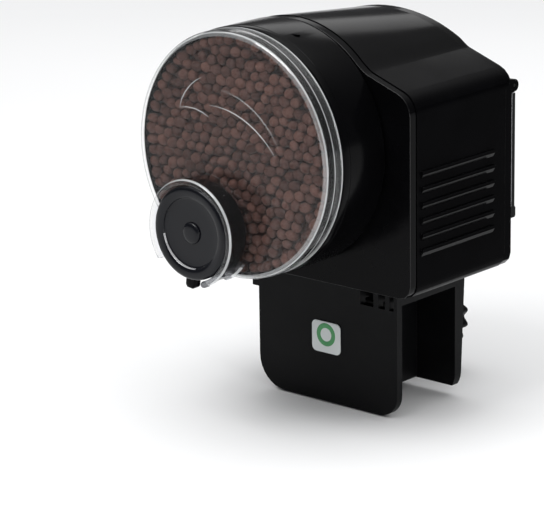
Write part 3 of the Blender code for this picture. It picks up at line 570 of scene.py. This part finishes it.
def lid_finish(point, normal):
    """Clear nearly everywhere, with painted highlights in white haze on the rounded rims and
    ridges, a painted grey sheen in the groove and on the outlet's rim, and painted shade on part
    of the outlet's wall.
    """
    radius = math.hypot(point.x, point.z)
    around, across = from_outlet(point)
    if point.y < -34.5:                                 # rim of the outlet's wall
        # painted shade on the rim near the wall's end
        if abs(around - WALL_FROM) < 7.0:
            return "shade"
        # painted highlight line round the outside of the outlet's rim
        if across > 15.0 and -35.7 < point.y < -35.1:
            return "painted_highlight_line"
        # painted highlight on the front of the outlet's rim, a painted grey sheen on the rest of
        # it
        return "edge" if across > 14.8 and point.y < -35.7 else "painted_grey_sheen"
    if across < 15.7 and point.y < -26.8:               # the wall and its foot
        # painted highlight line along part of the wall's foot
        if across > 14.4 and point.y > -27.9 and 300.0 < around < 320.0:
            return "painted_highlight_line"
        # painted shade on the wall from its end to 325 degrees
        return "shade" if WALL_FROM - 7.0 < around < 325.0 else "wall"
    if radius > 33.1 and -26.75 < point.y < -25.7 and normal.y < -0.3:
        # painted highlight on the rounded front edge, whiter at its outside
        return "painted_highlight_line" if radius > 34.1 else "edge"      # rounded front edge
    # painted highlight lines on both sides of the groove
    if radius > 34.3 and (-23.8 < point.y < -23.3 or point.y > -20.6):
        return "painted_highlight_line"                                   # both sides of the groove
    # painted grey sheen in the groove
    if radius > 34.3 and -23.3 < point.y < -20.9:
        return "painted_grey_sheen"                                   # the groove
    return "clear"


def lid_body():
    """The flat clear front, its rounded edge and the grooved wall around the cup's neck."""
    profile = [(0.0, LID_FACE), (20.0, LID_FACE), (32.4, LID_FACE), (33.2, -26.68),
               (33.7, -26.5), (34.1, -26.22), (34.4, -25.85), (34.62, -25.45), (34.76, -25.0),
               (LID_RADIUS, -24.6), (LID_RADIUS, -23.75), (LID_RADIUS, -23.38),
               (34.55, -23.25), (GROOVE_RADIUS, -23.0), (GROOVE_RADIUS, -22.2),
               (GROOVE_RADIUS, -21.4), (34.46, -21.1), (34.6, -20.85), (34.74, -20.65),
               (LID_RADIUS, -20.5), (LID_RADIUS, -20.3), (34.7, -20.2), (34.1, -20.2),
               (34.1, -25.1), (33.9, -25.4), (33.5, LID_INSIDE), (31.0, LID_INSIDE),
               (20.0, LID_INSIDE), (0.0, LID_INSIDE)]
    return turned_mesh("lid_body", profile, steps=160)


def outlet_parts():
    """The clear wall around the dial, its two rounded ends and the post in the dial's middle."""
    rim = [(13.65, -35.6), (13.72, -35.82), (13.9, -35.96), (14.2, -36.0), (14.5, -35.96),
           (14.9, -35.82), (15.15, -35.58), (15.3, -35.25), (15.28, -34.95), (15.1, -34.7),
           (14.86, -34.55), (14.74, -34.3), (14.7, -34.0)]
    foot = [(14.7, -27.6), (14.85, -27.1), (15.2, -26.8), (15.4, -26.2), (13.65, -26.2)]
    wall = turned_mesh("lid_ring", rim + foot, OUTLET, 120, True, WALL_FROM, WALL_TO)
    pin = [(0.0, -32.4), (1.7, -32.4), (1.9, -32.2), (1.9, -26.9), (2.1, -26.3), (0.0, -26.3)]
    parts = [wall, turned_mesh("lid_post", pin, OUTLET, 32)]
    for angle, out, radius, low in ((WALL_FROM - 0.5, 14.6, 0.95, -33.6),
                                    (WALL_TO - 1.0, 14.5, 0.8, -27.2)):
        drop = [(0.0, -35.97), (radius * 0.45, -35.92), (radius * 0.8, -35.68),
                (radius, -35.2), (radius, low), (radius * 0.7, low + 0.3), (0.0, low + 0.35)]
        centre = arc(out, angle, angle, 1, OUTLET)[0]
        parts.append(turned_mesh("lid_end", drop, centre, 24))
    return parts


def make_lid():
    """The drum's clear lid with the outlet's wall and port."""
    port = arc(9.6, 190.0, 310.0, 24) + arc(4.6, 310.0, 190.0, 16)
    opening = prism_mesh("port", port, LID_FACE - 1.3, LID_INSIDE + 3.5, OUTLET)
    mesh = combined("lid_joined", lid_body(), outlet_parts(), "UNION")
    mesh = combined("lid_clear", mesh, [opening], "DIFFERENCE")
    finish_mesh(mesh, 40.0)
    choose_finish(mesh, ["clear", "edge", "painted_highlight_line", "painted_grey_sheen", "wall", "shade"], lid_finish)
    add("lid_clear", mesh, None, "lid", ("drum_lid",))


def make_arrows():
    """Two curved lines and a barb on the lid's face, for the way that the drum turns, with white
    haze as painted highlights on the ridges.
    """
    width, height, tip = 0.3, 0.2, (-18.4, 11.3)
    inner = arc(28.2, 92.0, 37.2, 28, (-6.3, -14.8))
    outer = arc(26.3, 84.5, 28.2, 28, (-5.5, -8.0))
    barb_up = [tip, (-17.7, 13.6), (-16.3, 15.9), (-14.2, 18.2), (-12.2, 19.7), (-9.9, 20.9)]
    barb_in = [tip, (-15.8, 11.8), (-12.6, 11.7), (-9.9, 11.0), (-7.6, 10.0)]
    for i, (path, finish) in enumerate(((inner, "painted_arrow_highlight"), (outer, "painted_faint_highlight"),
                                        (barb_up, "painted_arrow_highlight"), (barb_in, "painted_arrow_highlight"))):
        name = "lid_arrow_%d" % (i + 1)
        add(name, ridge_mesh(name, path, LID_FACE, width, height), finish, "lid")


DISH_FRONT, SKIRT_BACK = -34.8, -27.1       # y of the dial's front edge and of its back


def dial_finish(point, _):
    """A painted highlight, a light grey strip, where the dish's wall faces up, a black skirt, the
    rest plain.
    """
    around, across = from_outlet(point)
    # painted highlight on the dish wall's arc that faces up and left
    if 9.9 < across < 10.15 and point.y < -34.7 and 188.0 < around < 278.0:
        return "painted_dish_highlight"
    return "gloss" if across > 12.9 and point.y > -34.7 else "dial"


def make_dial():
    """The outlet dial: a dished face, a skirt inside the clear wall and a finger lug."""
    profile = [(DIAL_RADIUS, DISH_FRONT), (DIAL_RADIUS, SKIRT_BACK), (DIAL_INSIDE, SKIRT_BACK),
               (DIAL_INSIDE, -33.2), (3.5, -33.2), (3.5, SKIRT_BACK), (2.2, SKIRT_BACK),
               (2.2, -32.9), (1.1, -32.9), (1.1, -34.5), (4.0, -34.5), (7.0, -34.52),
               (9.4, -34.6), (9.8, -34.68), (9.96, DISH_FRONT), (10.0, -34.9), (10.08, -35.2),
               (10.18, -35.34), (10.4, -35.44), (11.0, -35.6), (11.8, -35.7), (12.4, -35.66),
               (12.8, -35.5), (13.08, -35.28), (13.25, -35.0)]
    body = turned_mesh("dial_body", profile, OUTLET, 120, True)
    window = (arc(DIAL_RADIUS + 1.0, 214.0, 251.0, 20)
              + arc(DIAL_INSIDE - 1.0, 251.0, 214.0, 16))
    opening = prism_mesh("dial_window", window, -31.7, -25.7, OUTLET)
    turn = math.radians(261.0)
    base, reach, half, corner = 12.7, 16.8, 1.7, 0.7
    blade = [(base, -half), (reach - corner, -half), (reach, -half + corner),
             (reach, half - corner), (reach - corner, half), (base, half)]
    blade = [(u * math.cos(turn) - v * math.sin(turn), u * math.sin(turn) + v * math.cos(turn))
             for u, v in blade]
    lug = prism_mesh("dial_lug", blade, -33.2, -30.6, OUTLET, 0.3)
    mesh = combined("dial_cut", body, [opening], "DIFFERENCE")
    mesh = combined("dial_fine", mesh, [lug], "UNION")
    finish_mesh(mesh, 38.0)
    choose_finish(mesh, ["dial", "painted_dish_highlight", "gloss"], dial_finish)
    add("dial_fine", mesh, None, "dial", ("outlet_dial",))
    cap = [(0.0, -35.55), (1.4, -35.53), (2.1, -35.46), (2.6, -35.3), (2.95, -35.05),
           (3.1, -34.8), (3.1, -34.62), (2.9, -34.55), (0.6, -34.55), (0.6, -28.0), (0.0, -28.0)]
    add("dial_cap", turned_mesh("dial_cap", cap, OUTLET, 64), "dial", "dial",
        ("dial_screw",))


# ---------------------------------------------------------------- drum and food

def make_cup():
    """The black cup with a plain round socket for the shaft, and a small triangle cut into its
    outside."""
    profile = [(33.9, NECK_FRONT), (33.9, -19.9), (34.4, -19.9), (34.7, -19.8), (34.92, -19.6),
               (CUP_RADIUS, -19.3), (CUP_RADIUS, -17.6), (34.9, -17.5), (34.9, -17.2),
               (CUP_RADIUS, -17.1), (CUP_RADIUS, -3.2), (34.9, -2.7), (34.6, -2.2),
               (34.1, CUP_BACK), (5.0, CUP_BACK), (5.0, -9.0), (7.2, -9.0), (7.2, -4.0),
               (CUP_INSIDE, -4.0), (CUP_INSIDE, -20.0), (NECK_INSIDE, NECK_FRONT),
               (33.6, -25.15), (33.8, -25.15)]
    body = turned_mesh("cup_body", profile, steps=180, closed=True)
    bm = bmesh.new()
    lean, half, base, tip = math.radians(20.6), 1.5, -13.2, -10.9
    ends = []
    for r in (CUP_RADIUS - 0.4, CUP_RADIUS + 0.6):
        ring = []
        for across, y in ((-half, base), (half, base), (0.0, tip)):
            a = math.pi / 2 - lean + across / r
            ring.append(bm.verts.new(place(r * math.cos(a), y, r * math.sin(a))))
        ends.append(ring)
    bm.faces.new(ends[0])
    bm.faces.new(ends[1])
    for i in range(3):
        j = (i + 1) % 3
        bm.faces.new((ends[0][i], ends[0][j], ends[1][j], ends[1][i]))
    mesh = combined("cup_fine", body, [mesh_from(bm, "cup_mark")], "DIFFERENCE")
    finish_mesh(mesh)
    add("cup_fine", mesh, "gloss", "drum", ("drum_cup",))


PELLET_RADII = (1.86, 1.5, 1.5)
PELLET_PITCH = (3.4, 2.85)              # where pellets start, along X and Z
PELLET_SPACE = (3.6, 2.85)              # how far apart they settle
PELLET_FRONT = LID_INSIDE + 0.14        # no pellet comes further forward
PELLET_LIMIT = NECK_INSIDE - 0.15       # how far from the axis they reach, at the neck's front
NECK_TAPER = 0.224                      # how much less for each millimetre behind that
WALL_PELLETS, WALL_REACH = 62, 31.9     # the ring of them against the cup's wall


def settled(reach, rng):
    """Jittered points in a disc, pushed apart until pellets hardly overlap."""
    columns, rows, rounds = 11, 13, 60
    points = []
    for j in range(-rows, rows + 1):
        for i in range(-columns, columns + 1):
            x = (i + (j % 2) * 0.5) * PELLET_PITCH[0] + rng.uniform(-0.5, 0.5)
            z = j * PELLET_PITCH[1] + rng.uniform(-0.4, 0.4)
            if math.hypot(x, z) < reach:
                points.append((x, z))
    spots = np.array(points)
    for _ in range(rounds):
        gap = spots[:, None, :] - spots[None, :, :]
        far = np.hypot(gap[..., 0] / PELLET_SPACE[0], gap[..., 1] / PELLET_SPACE[1]) + 1e-9
        push = np.where(far < 1.0, (1.0 - far) * 0.5, 0.0)
        np.fill_diagonal(push, 0.0)
        spots = spots + (gap / far[..., None] * push[..., None]).sum(axis=1) * 0.5
        size = np.hypot(spots[:, 0], spots[:, 1])
        spots = spots * np.where(size > reach, reach / size, 1.0)[:, None]
    return spots


def unit_sphere(level):
    """A unit icosphere's points and triangles."""
    bm = bmesh.new()
    bmesh.ops.create_icosphere(bm, subdivisions=level, radius=1.0)
    points = np.array([v.co for v in bm.verts])
    faces = np.array([[v.index for v in f.verts] for f in bm.faces])
    bm.free()
    return points, faces


def pellet(sphere, rng):
    """The points of one lumpy pellet around its centre, lying almost along X."""
    size = rng.uniform(0.92, 1.1)
    radii = np.array([PELLET_RADII[0] * rng.uniform(0.88, 1.1), PELLET_RADII[1],
                      PELLET_RADII[2] * rng.uniform(0.9, 1.1)])
    seed = Vector((rng.uniform(0, 50), rng.uniform(0, 50), rng.uniform(0, 50)))
    lumps = np.array([1.0 + 0.07 * noise.noise(Vector(p) * 1.3 + seed) for p in sphere])
    turn = np.array(Matrix.Rotation(rng.gauss(0.0, 0.4), 3, "Y")
                    @ Matrix.Rotation(rng.gauss(0.0, 0.3), 3, "Z")
                    @ Matrix.Rotation(rng.gauss(0.0, 0.3), 3, "X"))
    return (sphere * lumps[:, None] * radii * size) @ turn.T


def set_tone(mesh, tones):
    tone = mesh.attributes.new("tone", "FLOAT", "POINT")
    tone.data.foreach_set("value", tones.astype(np.float32))


def make_food():
    """Loose pellets settled against the lid, with a plain mass behind them in a dark brown that is
    partly painted shade.
    """
    rng = random.Random(11)
    turns = (2 * math.pi * (i + rng.uniform(-0.2, 0.2)) / WALL_PELLETS
             for i in range(WALL_PELLETS))
    wall = [(WALL_REACH * math.cos(a), WALL_REACH * math.sin(a)) for a in turns]
    front = settled(29.2, rng)
    layers = [(np.concatenate([front, wall]), -23.7, 3), (settled(31.0, rng), -21.7, 2)]
    all_points, all_faces, tones = [], [], []
    base = 0
    for spots, depth, level in layers:
        points, faces = unit_sphere(level)
        for x, z in spots:
            shape = pellet(points, rng)
            reach = -shape[:, 1].min()
            y = max(depth + rng.uniform(-0.1, 0.5), PELLET_FRONT + reach)
            all_points.append(shape + np.array([x, y, z]))
            all_faces.append(faces + base)
            tones.append(np.full(len(points), rng.random()))
            base += len(points)
    joined = np.concatenate(all_points)
    edge = np.hypot(joined[:, 0], joined[:, 2])
    limit = PELLET_LIMIT - NECK_TAPER * np.clip(joined[:, 1] - NECK_FRONT, 0.0, None)
    joined[:, [0, 2]] *= np.where(edge > limit, limit / edge, 1.0)[:, None]
    placed = joined * MM + np.array(ORIGIN)
    mesh = bpy.data.meshes.new("food_pellets")
    mesh.from_pydata(placed.tolist(), [], np.concatenate(all_faces).tolist())
    set_tone(mesh, np.concatenate(tones))
    mesh.shade_smooth()
    add("food_pellets", mesh, "pellets", "drum", ("food_fill",))

    bm = bmesh.new()
    lathe(bm, [(0.0, -21.6), (8.0, -21.6), (16.0, -21.6), (24.0, -21.6), (30.6, -21.8),
               (32.2, -22.4), (32.1, -12.0), (32.1, -4.6), (7.8, -4.6), (7.8, -9.6),
               (0.0, -9.6)], steps=96)
    mesh = mesh_from(bm, "food_mass")
    # the darkest of the pellets' browns: the food's own colour darkened as painted shade in the
    # gaps
    set_tone(mesh, np.full(len(mesh.vertices), 0.05))
    mesh.shade_smooth()
    add("food_mass", mesh, "pellets", "drum")


# ---------------------------------------------------------------- case, bracket and clamp

REFINED = [
    # node, piece, finishes, record slot, edge radius, bevel steps
    ("main_shell", "shell_fine", ("gloss", "painted_shade_sides", "painted_highlight_edges"), "case_gloss", 0.35, 2),
    ("front_cover", "front_fine", ("gloss", "painted_highlight_edges"), "case_gloss", 0.5, 3),
    ("rear_cover", "rear_fine", ("gloss", "painted_shade_sides", "painted_highlight_edges"), "case_gloss", 0.4, 2),
    ("battery_door", "door_fine", ("gloss", "painted_shade_sides", "painted_highlight_edges"), "case_gloss", 0.3, 2),
    ("tank_bracket", "bracket_fine", ("satin",), "bracket_satin", 0.4, 3),
    ("clamp_jaw", "jaw_fine", ("satin",), "bracket_satin", 0.25, 2),
    ("jaw_pad", "pad_fine", ("pad",), "pad", 0.3, 2),
    ("flip_cover", "flap_fine", ("smoked", "satin", "satin"), "clear", 0.2, 2),
    ("lcd_module", "display_fine", ("display",), "display", 0.2, 2),
    ("lcd_window", "window_fine", ("window",), "window", 0.15, 2),
    ("gearbox_plate", "gearbox_fine", ("white",), "gear_plastic", 0.2, 2),
    ("battery_bay", "bay_fine", ("satin",), "bracket_satin", 0.2, 2),
]

CARRIED = {
    "steel": ["case_screw_1", "case_screw_2", "case_screw_3", "case_screw_4", "motor_shaft",
              "gear_axle_lower", "gear_axle_upper", "drive_shaft", "motor", "clamp_screw",
              "contact_spring_front", "contact_spring_rear"],
    "brass": ["output_bush", "nut_insert", "motor_pinion", "bridge_contact"],
    "white": ["output_gear", "compound_gear_lower", "compound_gear_upper"],
    "cell": ["battery_cell_front", "battery_cell_rear"],
    "board": ["circuit_board"],
    "satin": ["flip_pin_left", "flip_pin_right", "buzzer", "tact_switch_1", "tact_switch_2",
              "tact_switch_3", "tact_switch_4"],
}


def make_case():
    """Rounded copies of the nodes in REFINED, and the nodes in CARRIED in their own shape."""
    for row in REFINED:
        refined(*row)
    for material, nodes in CARRIED.items():
        for node in nodes:
            for held in frame["nodes"][node].material_slots:
                held.material = MATERIALS[material]


def make_keys():
    """Round rubber keys with a dished top."""
    profile = [(0.0, 40.2), (4.4, 40.2), (4.5, 40.35), (4.5, 41.05), (4.4, 41.2),
               (3.7, 41.2), (3.6, 41.35), (3.6, 44.7), (3.45, 45.1), (3.1, 45.35),
               (2.7, 45.4), (2.0, 45.28), (1.0, 45.12), (0.0, 45.08)]
    for number in range(1, 5):
        name = "key_%d_fine" % number
        mesh = turned_mesh(name, profile, ((number - 2.5) * KEY_PITCH, KEY_Z), 64)
        add(name, mesh, "rubber", "key_%d" % number, ("button_%d" % number,))


def make_knob():
    """The clamp's lobed knob, with a dish in its back and a bore for the screw."""
    lobes, points, radius, depth = 16, 14, 12.3, 0.8
    front, back, bore_radius, bore_end = 56.6, 65.4, 3.3, 63.7
    outline = []
    for i in range(lobes * points):
        a = 2 * math.pi * i / (lobes * points)
        r = radius - depth - depth * math.cos(lobes * a)
        outline.append((r * math.cos(a), r * math.sin(a)))
    body = prism_mesh("knob_body", outline, front, back, KNOB_AXIS, 0.7, 3)
    hole = [(0.0, front - 1.6), (bore_radius, front - 1.6), (bore_radius, bore_end),
            (0.0, bore_end)]
    bore = turned_mesh("knob_bore", hole, KNOB_AXIS, 48)
    hollow = [(0.0, 64.5), (4.5, 64.55), (6.4, 64.9), (7.2, 66.0), (0.0, 66.0)]
    dish = turned_mesh("knob_dish", hollow, KNOB_AXIS, 64)
    mesh = combined("knob_fine", body, [bore, dish], "DIFFERENCE")
    finish_mesh(mesh, 40.0)
    add("knob_fine", mesh, "satin", "screw", ("clamp_knob",))


def make_label():
    """A plain round-cornered sticker with a ring printed on it."""
    half_width, half_height, corner, up = 3.7, 3.1, 1.6, 0.8
    x, z = LABEL_CENTRE
    outline = []
    for side, end, start in ((1, 1, 0.0), (-1, 1, 90.0), (-1, -1, 180.0), (1, -1, 270.0)):
        middle = (x + side * half_width, z + end * half_height)
        outline += arc(corner, start, start + 90.0, 8, middle)
    mesh = prism_mesh("label_fine", outline, LABEL_FACE, 13.4, edge=0.08)
    add("label_fine", mesh, "paper", "bracket", ("round_label",))
    ring = [(2.05, 13.03), (3.45, 13.03), (3.5, 13.06), (3.5, 13.2), (2.0, 13.2), (2.0, 13.06)]
    mesh = turned_mesh("label_ring", ring, (x, z + up), 72, True)
    add("label_ring", mesh, "green", "bracket")


# ---------------------------------------------------------------- stage, light and camera

def make_stage():
    """A pale floor just under the object."""
    radius, gap = 6.0, 0.0005               # metres
    material, tree, shader = new_material("floor")
    cloud = object_noise(tree, scale=3.0, detail=2.0)
    tint = colours(tree, cloud, [(0.3, (0.87, 0.875, 0.88)), (0.7, (0.90, 0.903, 0.906))])
    link(tree, tint, shader.inputs["Base Color"])
    shader.inputs["Roughness"].default_value = 0.7
    shader.inputs["Specular IOR Level"].default_value = 0.2
    bm = bmesh.new()
    bmesh.ops.create_circle(bm, cap_ends=True, segments=96, radius=radius)
    mesh = bpy.data.meshes.new("floor")
    bm.to_mesh(mesh)
    bm.free()
    mesh.materials.append(material)
    floor = linked("floor", mesh)
    floor.location = (0.0, 0.0, CAD_BOX[0].z - gap)


def area_light(name, position, aim, size, power):
    data = bpy.data.lights.new(name, "AREA")
    data.shape = "RECTANGLE"
    data.size, data.size_y = size[0] * MM, size[1] * MM
    data.energy = power
    light = linked(name, data)
    light.location = place(*position)
    light.rotation_mode = "QUATERNION"
    light.rotation_quaternion = (place(*aim) - light.location).to_track_quat("-Z", "Y")


def make_lights():
    """A sky that is bright overhead, with an even backdrop for the camera, and three lights."""
    world = bpy.data.worlds.new("studio")
    bpy.context.scene.world = world
    world.use_nodes = True
    tree = world.node_tree
    background = tree.nodes["Background"]
    coords = tree.nodes.new("ShaderNodeTexCoord")
    split = tree.nodes.new("ShaderNodeSeparateXYZ")
    link(tree, coords.outputs["Generated"], split.inputs["Vector"])
    sky = colours(tree, ramp(tree, split.outputs["Z"], 0.0, 1.0, start=0.0, end=1.0),
                  [(0.0, (0.050, 0.050, 0.052)), (0.30, (0.055, 0.055, 0.057)),
                   (0.50, (0.12, 0.12, 0.122)), (0.62, (0.28, 0.28, 0.283)),
                   (0.78, (0.90, 0.90, 0.905)), (1.0, (1.0, 1.0, 1.0))])
    path = tree.nodes.new("ShaderNodeLightPath")
    backdrop = tree.nodes.new("ShaderNodeMix")
    backdrop.data_type = "RGBA"
    backdrop.inputs["B"].default_value = (0.50, 0.505, 0.51, 1.0)
    link(tree, path.outputs["Is Camera Ray"], backdrop.inputs["Factor"])
    link(tree, sky, backdrop.inputs["A"])
    link(tree, backdrop.outputs["Result"], background.inputs["Color"])
    background.inputs["Strength"].default_value = 1.75
    area_light("key_front", position=(-30.0, -300.0, 430.0), aim=(0.0, 0.0, -10.0),
               size=(300.0, 200.0), power=1.3)
    area_light("roof_back", position=(-280.0, 420.0, 250.0), aim=(0.0, 0.0, 20.0),
               size=(300.0, 150.0), power=0.20)
    area_light("edge_strip", position=(190.0, -60.0, 10.0), aim=(43.0, 0.0, 0.0),
               size=(26.0, 150.0), power=0.10)


def make_camera():
    """The view of the photograph: from the right of the drum, a little above, a long lens."""
    azimuth, elevation, roll = math.radians(41.302), math.radians(16.024), math.radians(-0.933)
    distance, across, rise = 801.0, -6.66, -35.38
    lens, sensor = 189.1, 36.0
    back = Vector((math.sin(azimuth) * math.cos(elevation),
                   -math.cos(azimuth) * math.cos(elevation), math.sin(elevation)))
    right = Vector((math.cos(azimuth), math.sin(azimuth), 0.0))
    up = back.cross(right)
    data = bpy.data.cameras.new("camera")
    data.lens, data.sensor_width = lens, sensor
    data.clip_start, data.clip_end = 0.05, 20.0
    camera = linked("camera", data)
    rolled_right = right * math.cos(roll) + up * math.sin(roll)
    rolled_up = up * math.cos(roll) - right * math.sin(roll)
    axes = Matrix((rolled_right, rolled_up, back)).transposed()
    middle = place(*(back * distance + right * across + up * rise))
    camera.matrix_world = Matrix.Translation(middle) @ axes.to_4x4()
    bpy.context.scene.camera = camera


bpy.context.scene.view_settings.view_transform = "Standard"
make_camera()
make_lights()
make_stage()
make_case()
make_keys()
make_knob()
make_label()
make_cup()
make_food()
make_lid()
make_arrows()
make_dial()

bpy.context.view_layer.update()
